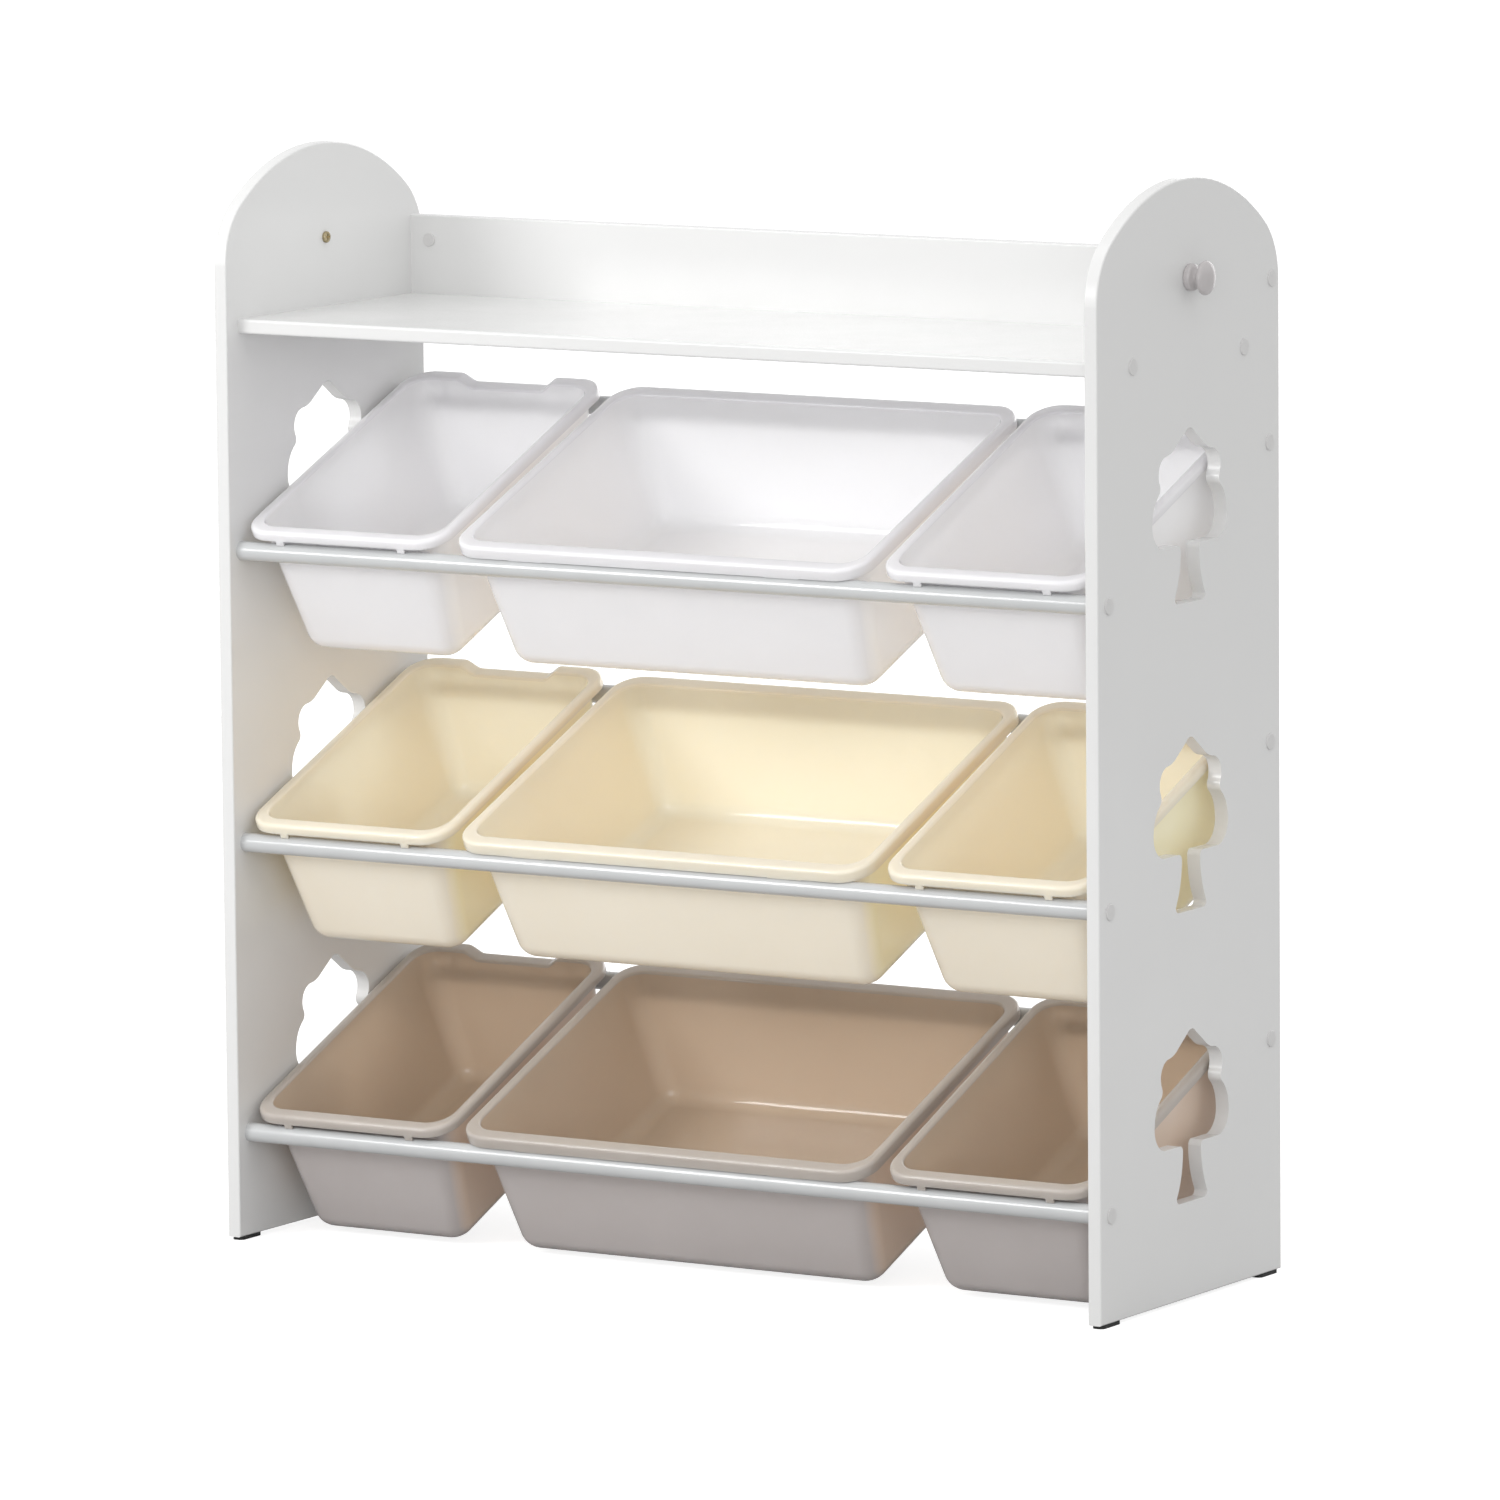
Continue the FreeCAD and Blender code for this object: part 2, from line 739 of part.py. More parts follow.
def knob_screw(name):
    head = size("knob_screw_head_diameter") / 2
    shank = size("knob_screw_diameter") / 2
    top = -size("knob_screw_head_height")
    reach = size("panel_thickness") + size("knob_screw_reach")
    body = revolved(name + "_turned", [
        (zero, top), (head, top), (head, zero), (shank, zero), (shank, reach), (zero, reach)])
    round_edges(body, body.Tip, size("knob_screw_edge_radius"), lies_at("z", top), "soft_head")
    length = size("cross_slot_length")
    width = size("cross_slot_width")
    depth = size("cross_slot_depth") + overrun
    slots = [block(name + "_slot", length, width, depth, (-length / 2, -width / 2, top - overrun)),
             block(name + "_cross", width, length, depth, (-width / 2, -length / 2, top - overrun))]
    return cut(name, body, slots)


screw = knob_screw("cross_screw")
for name, reach, end, outward, inward in (("left", -half_width, -inner_half, against_x, along_x),
                                          ("right", half_width, inner_half, along_x, against_x)):
    turned = knob(name + "_knob")
    put(turned, (reach,) + knob_place, outward)
    nodes.append(turned)
    nodes.append(group(name + "_knob_screw", screw, [(end,) + knob_place], outward))


# Foot pads, each nailed to the panel above it

def foot(label, centre, reach):
    body = new_body(label)
    sketch = new_sketch(body, "plan", "XY_Plane")
    half_length = size("foot_length") / 2
    rounded_box(sketch, size("foot_width") / 2, -half_length, half_length, size("foot_corner_radius"))
    pad(body, sketch, size("foot_thickness"), "pad")
    sketch = new_sketch(body, "nail_hole", "XY_Plane")
    circle(sketch, (zero, zero), nail_hole)
    pocket(body, sketch, size("foot_thickness") + overrun, "nail_hole_cut", forward=True)
    sketch = new_sketch(body, "nail_recess", "XY_Plane")
    circle(sketch, (zero, zero), size("nail_head_diameter") / 2 + hole)
    pocket(body, sketch, size("nail_recess_depth"), "nail_recess_cut", forward=True)
    put(body, (centre, reach, zero))
    return body


def nail():
    head = size("nail_head_diameter") / 2
    shank = size("nail_diameter") / 2
    seat = size("nail_recess_depth")
    under = seat - size("nail_head_thickness")
    tip = seat + size("nail_length")
    return revolved("nail", [(zero, under), (head, under), (head, seat), (shank, seat), (shank, tip), (zero, tip)])


panel_middle = half_width - size("panel_thickness") / 2
foot_places = []
for name, centre in (("left", -panel_middle), ("right", panel_middle)):
    for end, reach in (("front", -foot_reach), ("back", foot_reach)):
        nodes.append(foot("%s_%s_foot" % (name, end), centre, reach))
        foot_places.append((centre, reach, zero))
nodes.append(group("foot_nails", nail(), foot_places, along_z))


# Bins. Each is modelled with its front tube's axis along X through the origin, Y up the slope to the
# back tube and Z square to both, and is then tilted into its place.

rod_run = rod_reach * 2
rod_span = root(rod_run * rod_run + size("rod_rise") * size("rod_rise"))
row_tilt = angle_of(size("rod_rise") / rod_run)
small_tilt = row_tilt + angle_of(size("small_back_drop") / rod_span)
small_width = size("small_bin_width")
bin_gaps = size("bin_left_gap") + size("bin_first_gap") + size("bin_second_gap") + size("bin_right_gap")
large_width = inner_half * 2 - bin_gaps - small_width * 2
bin_widths = {"small": small_width, "large": large_width}


def make_bin(label, kind, centre, height):
    width = bin_widths[kind]
    top = size(kind + "_rim_top")
    under = top - size(kind + "_rim_height")
    wall = size("bin_wall")
    front_face = -size(kind + "_front_reach")
    back_face = rod_span + size(kind + "_back_reach")
    front_slope = tangent(size("bin_front_draft"))
    side_slope = tangent(size("bin_side_draft"))
    base = -size("bin_depth")
    body = new_body(label)

    # a level section of the tub, drawn in by the thickness of its wall for the inside
    def section(name, level, corner, inset):
        half = width / 2 - size("rim_overhang") + level * side_slope - inset
        front = rod_radius + size("bin_front_gap") - level * front_slope + inset
        back = rod_span - rod_radius - size("bin_back_gap") + level * front_slope - inset
        sketch = new_sketch(body, name, "XY_Plane", level)
        rounded_box(sketch, half, front, back, corner - inset)
        return sketch

    outside = [section("mouth", top, size("bin_corner_radius"), zero),
               section("base", base, size("bin_base_corner_radius"), zero)]
    loft(body, "PartDesign::AdditiveLoft", outside, "tub")

    sketch = new_sketch(body, "rim_plan", "XY_Plane", top - wall)
    rounded_box(sketch, width / 2, front_face, back_face, size("rim_corner_radius"))
    pad(body, sketch, wall, "rim")
    sketch = new_sketch(body, "skirt_plan", "XY_Plane", under)
    rounded_box(sketch, width / 2, front_face, back_face, size("rim_corner_radius"))
    rounded_box(sketch, width / 2 - wall, front_face + wall, back_face - wall, size("rim_corner_radius") - wall)
    skirt = pad(body, sketch, top - under - wall, "skirt")
    round_edges(body, skirt, size(kind + "_rim_radius"), lies_at("z", top), "round_rim")

    inside = [section("inner_mouth", top, size("bin_corner_radius"), wall),
              section("inner_base", base + wall, size("bin_base_corner_radius"), wall)]
    hollow = loft(body, "PartDesign::SubtractiveLoft", inside, "hollow")
    floor_radius = size("bin_base_radius") - wall
    floor = round_edges(body, hollow, floor_radius, lies_at("z", base + wall), "round_floor")
    round_edges(body, floor, size("bin_base_radius"), lies_at("z", base), "round_base")

    # tabs under the rim that ride on the tubes
    drop = size("small_back_drop") if kind == "small" else zero
    seat = rod_radius + size("seat_clearance")
    depth = size(kind + "_tab_depth")
    for name, low, start in (("front_tabs", seat, front_face), ("back_tabs", seat - drop, back_face - depth)):
        sketch = new_sketch(body, name, "XY_Plane", low)
        for side in (-1, 1):
            middle = (width / 2 - size(kind + "_tab_inset")) * side
            left = middle - size(kind + "_tab_width") / 2
            right = middle + size(kind + "_tab_width") / 2
            polygon(sketch, [(left, start), (right, start), (right, start + depth), (left, start + depth)])
        pad(body, sketch, under - low + wall, name + "_pad")

    if kind == "small":
        notch(body, top, back_face)
    tilt = small_tilt if kind == "small" else row_tilt
    put(body, (centre, -rod_reach, height), FreeCAD.Rotation(FreeCAD.Vector(1, 0, 0), tilt.number))
    body.setExpression("Placement.Rotation.Angle", tilt.formula)
    return body


# The low middle of a small bin's back rim, with a lip along its foot.
def notch(body, top, back_face):
    low = top - size("notch_depth")
    base_half = size("notch_base_width") / 2
    top_half = size("notch_top_width") / 2
    flare = (top_half - base_half) * (overrun / size("notch_depth"))
    depth = size("rim_overhang") + size("rim_corner_radius")
    sketch = new_sketch(body, "notch_outline", "XZ_Plane", -(back_face - depth))
    polygon(sketch, [(-base_half, low), (base_half, low), (top_half + flare, top + overrun),
                     (-top_half - flare, top + overrun)])
    pocket(body, sketch, depth + overrun, "notch_cut")
    wall_top = rod_span - rod_radius - size("bin_back_gap")
    sketch = new_sketch(body, "notch_lip_plan", "XY_Plane", low - size("notch_lip_height"))
    polygon(sketch, [(-base_half, wall_top), (base_half, wall_top), (base_half, back_face),
                     (-base_half, back_face)])
    pad(body, sketch, size("notch_lip_height"), "notch_lip")


left_centre = -inner_half + size("bin_left_gap") + small_width / 2
middle_centre = left_centre + small_width / 2 + size("bin_first_gap") + large_width / 2
right_centre = inner_half - size("bin_right_gap") - small_width / 2
columns = (("left", "small", left_centre), ("centre", "large", middle_centre), ("right", "small", right_centre))

for row, row_name in enumerate(rows):
    for column_name, kind, centre in columns:
        nodes.append(make_bin("bin_%s_%s" % (row_name, column_name), kind, centre, front_heights[row]))


# Checks, then one file for each piece

doc.recompute()
for thing in doc.Objects:
    if "Invalid" in thing.State or "Error" in thing.State:
        raise RuntimeError("failed: %s %s" % (thing.Label, thing.State))
for node in nodes:
    if node.Shape.isNull() or not node.Shape.isValid():
        raise RuntimeError("bad shape: " + node.Label)

os.makedirs("parts", exist_ok=True)
for node in nodes:
    node.Shape.exportStep(os.path.join("parts", node.Label + ".step"))
    print("%s: %d solids, %.0f mm3" % (node.Label, len(node.Shape.Solids), node.Shape.Volume))
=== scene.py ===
import bpy
import bmesh
import json
import math
from mathutils import Euler, Matrix, Vector


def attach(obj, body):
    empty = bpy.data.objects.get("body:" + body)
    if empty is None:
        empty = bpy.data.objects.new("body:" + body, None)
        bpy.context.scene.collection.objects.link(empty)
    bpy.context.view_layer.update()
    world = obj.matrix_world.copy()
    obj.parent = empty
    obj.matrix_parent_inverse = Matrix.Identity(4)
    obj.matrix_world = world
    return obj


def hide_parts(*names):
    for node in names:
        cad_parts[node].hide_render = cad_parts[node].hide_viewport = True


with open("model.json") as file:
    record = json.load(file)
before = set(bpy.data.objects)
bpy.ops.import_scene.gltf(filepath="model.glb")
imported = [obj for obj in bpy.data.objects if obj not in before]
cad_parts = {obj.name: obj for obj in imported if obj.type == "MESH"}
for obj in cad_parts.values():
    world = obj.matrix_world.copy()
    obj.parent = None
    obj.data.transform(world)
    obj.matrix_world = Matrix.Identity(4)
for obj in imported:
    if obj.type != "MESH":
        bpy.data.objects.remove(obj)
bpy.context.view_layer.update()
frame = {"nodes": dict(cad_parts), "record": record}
nodes = frame["nodes"]
print("frame loaded:", len(nodes), "nodes")


# shader helpers
skinLook = {"broadDetail": 3.0, "grainDetail": 2.0, "mixFrom": 0.3, "mixTo": 0.7,
            "grainShare": 0.4, "dullFrom": 0.5, "dullTo": 0.9}
# where the painted glow on the bins' side walls begins and is full, by the X of the normal
paintedSideGlowLook = {"from": 0.65, "full": 0.97}
evenDepth = (1.0, 1.0, 1.0)


def addNode(tree, kind, **values):
    node = tree.nodes.new(kind)
    for name, value in values.items():
        setattr(node, name, value)
    return node


def stretch(tree, value, start, end):  # to 0 and 1, or to what is linked to its other sockets
    node = addNode(tree, "ShaderNodeMapRange")
    node.inputs["From Min"].default_value = start
    node.inputs["From Max"].default_value = end
    tree.links.new(value, node.inputs["Value"])
    return node


def makeSkinGroup():  # broad mottling and fine grain, shared by every finish
    group = bpy.data.node_groups.new("surfaceSkin", "ShaderNodeTree")
    sockets = (("Vector", "NodeSocketVector", "INPUT"), ("Pale", "NodeSocketColor", "INPUT"),
               ("Deep", "NodeSocketColor", "INPUT"), ("Broad Scale", "NodeSocketFloat", "INPUT"),
               ("Grain Scale", "NodeSocketFloat", "INPUT"), ("Smooth", "NodeSocketFloat", "INPUT"),
               ("Dull", "NodeSocketFloat", "INPUT"), ("Color", "NodeSocketColor", "OUTPUT"),
               ("Roughness", "NodeSocketFloat", "OUTPUT"),
               ("Height", "NodeSocketFloat", "OUTPUT"))
    for name, kind, way in sockets:
        group.interface.new_socket(name, in_out=way, socket_type=kind)
    into = addNode(group, "NodeGroupInput")
    out = addNode(group, "NodeGroupOutput")
    link = group.links.new
    broad = addNode(group, "ShaderNodeTexNoise")
    broad.inputs["Detail"].default_value = skinLook["broadDetail"]
    grain = addNode(group, "ShaderNodeTexNoise")
    grain.inputs["Detail"].default_value = skinLook["grainDetail"]
    for node, name in ((broad, "Broad Scale"), (grain, "Grain Scale")):
        link(into.outputs["Vector"], node.inputs["Vector"])
        link(into.outputs[name], node.inputs["Scale"])
    share = stretch(group, broad.outputs["Fac"], skinLook["mixFrom"], skinLook["mixTo"])
    mix = addNode(group, "ShaderNodeMix", data_type="RGBA")
    link(share.outputs["Result"], mix.inputs["Factor"])
    link(into.outputs["Pale"], mix.inputs["A"])
    link(into.outputs["Deep"], mix.inputs["B"])
    link(mix.outputs["Result"], out.inputs["Color"])
    both = addNode(group, "ShaderNodeMath", operation="MULTIPLY_ADD")
    link(grain.outputs["Fac"], both.inputs[0])
    both.inputs[1].default_value = skinLook["grainShare"]
    link(broad.outputs["Fac"], both.inputs[2])
    shade = stretch(group, both.outputs[0], skinLook["dullFrom"], skinLook["dullTo"])
    link(into.outputs["Smooth"], shade.inputs["To Min"])
    link(into.outputs["Dull"], shade.inputs["To Max"])
    link(shade.outputs["Result"], out.inputs["Roughness"])
    link(grain.outputs["Fac"], out.inputs["Height"])
    return group


skinGroup = makeSkinGroup()


def paintSideGlow(tree, colour, tone):  # painted light: faces whose normal points along X take a fixed brighter, fuller tone that stands in for light through the thin side walls
    coords = addNode(tree, "ShaderNodeTexCoord")
    split = addNode(tree, "ShaderNodeSeparateXYZ")
    tree.links.new(coords.outputs["Normal"], split.inputs["Vector"])
    size = addNode(tree, "ShaderNodeMath", operation="ABSOLUTE")
    tree.links.new(split.outputs["X"], size.inputs[0])
    share = stretch(tree, size.outputs[0], paintedSideGlowLook["from"], paintedSideGlowLook["full"])
    mix = addNode(tree, "ShaderNodeMix", data_type="RGBA")
    tree.links.new(share.outputs["Result"], mix.inputs["Factor"])
    tree.links.new(colour, mix.inputs["A"])
    mix.inputs["B"].default_value = tone + (1.0,)
    return mix.outputs["Result"]


def makeFinish(name, look):
    material = bpy.data.materials.new(name)
    material.use_nodes = True
    tree = material.node_tree
    shader = tree.nodes["Principled BSDF"]
    coords = addNode(tree, "ShaderNodeTexCoord").outputs["Object"]
    skin = addNode(tree, "ShaderNodeGroup")
    skin.node_tree = skinGroup
    tree.links.new(coords, skin.inputs["Vector"])
    skin.inputs["Pale"].default_value = look["pale"] + (1.0,)
    skin.inputs["Deep"].default_value = look["deep"] + (1.0,)
    skin.inputs["Broad Scale"].default_value = look["broad"]
    skin.inputs["Grain Scale"].default_value = look["grain"]
    skin.inputs["Smooth"].default_value = look["smooth"]
    skin.inputs["Dull"].default_value = look["dull"]
    colour = skin.outputs["Color"]
    # painted light: a fixed brighter tone on the bins' side walls
    if "sides" in look:
        colour = paintSideGlow(tree, colour, look["sides"])
    tree.links.new(colour, shader.inputs["Base Color"])
    tree.links.new(skin.outputs["Roughness"], shader.inputs["Roughness"])
    bump = addNode(tree, "ShaderNodeBump")
    bump.inputs["Strength"].default_value = look["bump"]
    bump.inputs["Distance"].default_value = look["bumpDepth"]
    tree.links.new(skin.outputs["Height"], bump.inputs["Height"])
    tree.links.new(bump.outputs["Normal"], shader.inputs["Normal"])
    shader.inputs["Metallic"].default_value = look.get("metal", 0.0)
    shader.inputs["Coat Weight"].default_value = look.get("coat", 0.0)
    if "glow" in look:
        shader.inputs["Subsurface Weight"].default_value = look["glow"]
        shader.inputs["Subsurface Scale"].default_value = look["glowDepth"]
        shader.inputs["Subsurface Radius"].default_value = evenDepth
    return material


mouldedPlastic = {"broad": 12.0, "grain": 1500.0, "smooth": 0.09, "dull": 0.14, "bump": 0.03,
                  "bumpDepth": 0.0002, "glow": 0.9, "glowDepth": 0.004}
milkyPlastic = {**mouldedPlastic, "glowDepth": 0.008}
finishes = {
    "painted_board": {"pale": (0.755, 0.755, 0.75), "deep": (0.735, 0.735, 0.73), "broad": 6.0,
                      "grain": 900.0, "smooth": 0.18, "dull": 0.26, "bump": 0.04,
                      "bumpDepth": 0.0003},
    "coated_tube": {"pale": (0.58, 0.59, 0.595), "deep": (0.55, 0.56, 0.565), "broad": 30.0,
                    "grain": 1200.0, "smooth": 0.16, "dull": 0.24, "bump": 0.08,
                    "bumpDepth": 0.0003, "coat": 0.4},
    # the same bin plastic in three finishes of painted light and shade: inner faces brighter and
    # fuller, outer faces darker and paler, rim darker, with a painted glow on the outer side walls
    "bin_white": {"pale": (0.957, 0.949, 0.965), "deep": (0.949, 0.941, 0.957), **milkyPlastic},
    "bin_cream": {"pale": (0.97, 0.875, 0.69), "deep": (0.962, 0.863, 0.675), **milkyPlastic},
    "bin_taupe": {"pale": (0.59, 0.487, 0.39), "deep": (0.575, 0.472, 0.375), **milkyPlastic},
    "bin_white_outside": {"pale": (0.83, 0.825, 0.845), "deep": (0.81, 0.805, 0.825),
                          "sides": (0.985, 0.97, 0.96), **milkyPlastic},
    "bin_cream_outside": {"pale": (0.87, 0.805, 0.685), "deep": (0.85, 0.785, 0.665),
                          "sides": (0.998, 0.87, 0.60), **milkyPlastic},
    "bin_taupe_outside": {"pale": (0.52, 0.49, 0.485), "deep": (0.50, 0.47, 0.465),
                          "sides": (0.69, 0.565, 0.475), **milkyPlastic},
    "bin_white_rim": {"pale": (0.84, 0.83, 0.85), "deep": (0.82, 0.81, 0.83), **mouldedPlastic},
    "bin_cream_rim": {"pale": (0.88, 0.80, 0.66), "deep": (0.86, 0.78, 0.64), **mouldedPlastic},
    "bin_taupe_rim": {"pale": (0.52, 0.475, 0.435), "deep": (0.50, 0.455, 0.415),
                      **mouldedPlastic},
    "knob_grey": {"pale": (0.54, 0.515, 0.515), "deep": (0.50, 0.475, 0.475), "broad": 60.0,
                  "grain": 1500.0, "smooth": 0.16, "dull": 0.24, "bump": 0.05,
                  "bumpDepth": 0.0002},
    "brass_screw": {"pale": (0.55, 0.47, 0.30), "deep": (0.30, 0.24, 0.13), "broad": 200.0,
                    "grain": 2500.0, "smooth": 0.25, "dull": 0.45, "bump": 0.2,
                    "bumpDepth": 0.0001, "metal": 1.0},
    "cap_white": {"pale": (0.66, 0.655, 0.65), "deep": (0.63, 0.625, 0.62), "broad": 80.0,
                  "grain": 1500.0, "smooth": 0.35, "dull": 0.45, "bump": 0.05,
                  "bumpDepth": 0.0002},
    "foot_black": {"pale": (0.012, 0.012, 0.012), "deep": (0.02, 0.02, 0.02), "broad": 80.0,
                   "grain": 1200.0, "smooth": 0.5, "dull": 0.7, "bump": 0.3,
                   "bumpDepth": 0.0003},
    "dowel_wood": {"pale": (0.50, 0.34, 0.18), "deep": (0.42, 0.27, 0.13), "broad": 120.0,
                   "grain": 900.0, "smooth": 0.5, "dull": 0.7, "bump": 0.3,
                   "bumpDepth": 0.0003},
    "plated_steel": {"pale": (0.55, 0.55, 0.56), "deep": (0.46, 0.46, 0.47), "broad": 150.0,
                     "grain": 2500.0, "smooth": 0.25, "dull": 0.42, "bump": 0.1,
                     "bumpDepth": 0.0001, "metal": 1.0},
}
materials = {slot: makeFinish(slot, look) for slot, look in finishes.items()}
for entry in frame["record"]["subparts"]:
    piece = nodes[entry["node"]]
    piece.data.materials.clear()
    piece.data.materials.append(materials[entry["material_slot"]])
print("finishes:", len(materials))


# pieces
sharpAngle = 38.0
tiny = 1e-6


def finishPiece(name, shape, slot, body, node):
    mesh = bpy.data.meshes.new(name)
    shape.to_mesh(mesh)
    shape.free()
    mesh.shade_smooth()
    mesh.set_sharp_from_angle(angle=math.radians(sharpAngle))
    mesh.materials.append(materials[slot])
    piece = bpy.data.objects.new(name, mesh)
    bpy.context.scene.collection.objects.link(piece)
    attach(piece, body)
    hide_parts(node)
    return piece


# bins: a sheet from the foot of the skirt over the rim and down to the floor, then a wall behind it
binLook = {"wall": 0.0024, "depth": 0.104, "frontDraft": 3.25, "sideDraft": 7.6,
           "frontGap": 0.0012, "backGap": 0.0008, "corner": 0.022, "baseCorner": 0.018,
           "baseRadius": 0.0155, "overhang": 0.009, "rimCorner": 0.026, "rimFall": 0.0004,
           "mouthRadius": 0.0022, "rodRadius": 0.008, "rodReach": 0.132, "rodRise": 0.106,
           "seat": 0.0083, "cornerSteps": 10, "roundSteps": 5, "wallShares": (0.25, 0.5, 0.75),
           "edgeRadius": 0.0006, "edgeSteps": 2, "edgeAngle": 50.0}
kindLook = {
    "large": {"width": 0.3943, "top": 0.019, "rim": 0.0102, "rimRadius": 0.003,
              "frontReach": 0.0036, "backReach": 0.0041, "tabWidth": 0.032, "tabInset": 0.074,
              "backDrop": 0.0},
    "small": {"width": 0.1966, "top": 0.0204, "rim": 0.0082, "rimRadius": 0.0036,
              "frontReach": 0.0025, "backReach": 0.0036, "tabWidth": 0.007, "tabInset": 0.0383,
              "backDrop": 0.0036},
}
notchLook = {"baseHalf": 0.034, "topHalf": 0.049, "depth": 0.0076, "steps": 8, "skirtShare": 0.6,
             "skirtSlack": 0.0005, "wallSlack": 0.002, "wallFade": 0.03, "wallTop": 0.004}
rowLook = {"bottom": {"height": 0.0905, "slot": "bin_taupe"},
           "middle": {"height": 0.336, "slot": "bin_cream"},
           "top": {"height": 0.5815, "slot": "bin_white"}}
columnLook = {"left": {"kind": "small", "centre": -0.3072},
              "centre": {"kind": "large", "centre": -0.00175},
              "right": {"kind": "small", "centre": 0.3087}}
# material slots of the three painted tones of one plastic: inner faces, outer shell and rim
toneOrder = {"inside": 0, "outside": 1, "rim": 2}
rodSpan = math.hypot(2 * binLook["rodReach"], binLook["rodRise"])
rowTilt = math.atan2(binLook["rodRise"], 2 * binLook["rodReach"])


def addSection(shape, half, front, back, level, radius, keepFace=False):
    before = set(shape.verts)
    made = bmesh.ops.create_grid(shape, x_segments=1, y_segments=1, size=1.0)
    spread = Matrix.Diagonal((half, (back - front) / 2, 1.0, 1.0))
    place = Matrix.Translation((0.0, (front + back) / 2, level))
    bmesh.ops.transform(shape, matrix=place @ spread, verts=made["verts"])
    bmesh.ops.bevel(shape, geom=made["verts"], offset=radius, offset_type="OFFSET",
                    segments=binLook["cornerSteps"], profile=0.5, affect="VERTICES", material=-1)
    fresh = [vert for vert in shape.verts if vert not in before]
    face = fresh[0].link_faces[0]
    edges = list(face.edges)
    if not keepFace:
        bmesh.ops.delete(shape, geom=[face], context="FACES_ONLY")
    return edges


def binSections(kind):  # half width, front, back, level and corner of each section, in order
    look = kindLook[kind]
    wall = binLook["wall"]
    rimHalf = look["width"] / 2
    rimFront = -look["frontReach"]
    rimBack = rodSpan + look["backReach"]
    steps = binLook["roundSteps"]
    sideSlope = math.tan(math.radians(binLook["sideDraft"]))
    frontSlope = math.tan(math.radians(binLook["frontDraft"]))
    sections = []

    def rim(inset, level):
        sections.append((rimHalf - inset, rimFront + inset, rimBack - inset, level,
                         binLook["rimCorner"] - inset))

    def inner(level, inset):
        share = (look["top"] - level) / (look["top"] + binLook["depth"])
        corner = binLook["corner"] + (binLook["baseCorner"] - binLook["corner"]) * share
        half = rimHalf - binLook["overhang"] + level * sideSlope - wall
        slope = level * frontSlope
        front = binLook["rodRadius"] + binLook["frontGap"] - slope + wall
        back = rodSpan - binLook["rodRadius"] - binLook["backGap"] + slope - wall
        sections.append((half - inset, front + inset, back - inset, level, corner - wall - inset))

    rim(0.0, look["top"] - look["rim"])
    for step in range(steps + 1):
        turn = math.pi / 2 * step / steps
        rim(look["rimRadius"] * (1 - math.cos(turn)),
            look["top"] - look["rimRadius"] * (1 - math.sin(turn)))
    mouth = binLook["mouthRadius"]
    brim = look["top"] - binLook["rimFall"]
    for step in range(steps + 1):
        turn = math.pi / 2 * step / steps
        inner(brim - mouth * (1 - math.cos(turn)), mouth * (math.sin(turn) - 1))
    floor = wall - binLook["depth"]
    radius = binLook["baseRadius"] - wall
    for share in binLook["wallShares"]:
        inner(brim - mouth + (floor + radius - brim + mouth) * share, 0.0)
    for step in range(2 * steps + 1):
        turn = math.pi / 2 * step / (2 * steps)
        inner(floor + radius * (1 - math.sin(turn)), radius * (1 - math.cos(turn)))
    return sections


def easeBetween(value, low, high):
    share = min(max((value - low) / (high - low), 0.0), 1.0)
    return share * share * (3 - 2 * share)


def cutAcross(shape, across):
    for side in (-1, 1):
        everything = shape.verts[:] + shape.edges[:] + shape.faces[:]
        bmesh.ops.bisect_plane(shape, geom=everything, dist=tiny,
                               plane_co=(side * across, 0.0, 0.0), plane_no=(1.0, 0.0, 0.0))


def lowerNotch(shape):  # the low middle of a small bin's back rim
    look = kindLook["small"]
    base, flare = notchLook["baseHalf"], notchLook["topHalf"] - notchLook["baseHalf"]
    for step in range(notchLook["steps"] + 1):
        cutAcross(shape, base + flare * step / notchLook["steps"])
    wallFront = rodSpan - binLook["rodRadius"] - binLook["backGap"] - 2 * binLook["wall"]
    skirtFace = rodSpan + look["backReach"]
    skirtFoot, skirtTop = look["top"] - look["rim"], look["top"] - look["rimRadius"]
    wallFoot, wallTop = look["top"] - notchLook["wallFade"], look["top"] - notchLook["wallTop"]
    least = notchLook["skirtShare"]
    for vert in shape.verts:
        if vert.co.y < wallFront - notchLook["wallSlack"]:
            continue
        past = easeBetween(abs(vert.co.x), notchLook["baseHalf"], notchLook["topHalf"])
        drop = notchLook["depth"] * (1 - past)
        if vert.co.y > skirtFace - notchLook["skirtSlack"]:
            share = least + (1 - least) * easeBetween(vert.co.z, skirtFoot, skirtTop)
        else:
            share = easeBetween(vert.co.z, wallFoot, wallTop)
        vert.co.z -= drop * share


def addTabs(shape, kind):  # feet of the skirt that ride on the tubes
    look = kindLook[kind]
    under = look["top"] - look["rim"]
    middle = look["width"] / 2 - look["tabInset"]
    for end in (-1, 1):
        cutAcross(shape, middle + end * look["tabWidth"] / 2)
    for back in (False, True):
        feet = []
        for edge in shape.edges:
            spot = (edge.verts[0].co + edge.verts[1].co) / 2
            level = all(abs(vert.co.z - under) < tiny for vert in edge.verts)
            near = abs(abs(spot.x) - middle) < look["tabWidth"] / 2
            if edge.is_boundary and level and near and (spot.y > rodSpan / 2) == back:
                feet.append(edge)
        made = bmesh.ops.extrude_edge_only(shape, edges=feet)
        for item in made["geom"]:
            if isinstance(item, bmesh.types.BMFace):
                item.material_index = toneOrder["rim"]
        low = [item for item in made["geom"] if isinstance(item, bmesh.types.BMVert)]
        reach = under - binLook["seat"] + (look["backDrop"] if back else 0.0)
        bmesh.ops.translate(shape, verts=low, vec=(0.0, 0.0, -reach))


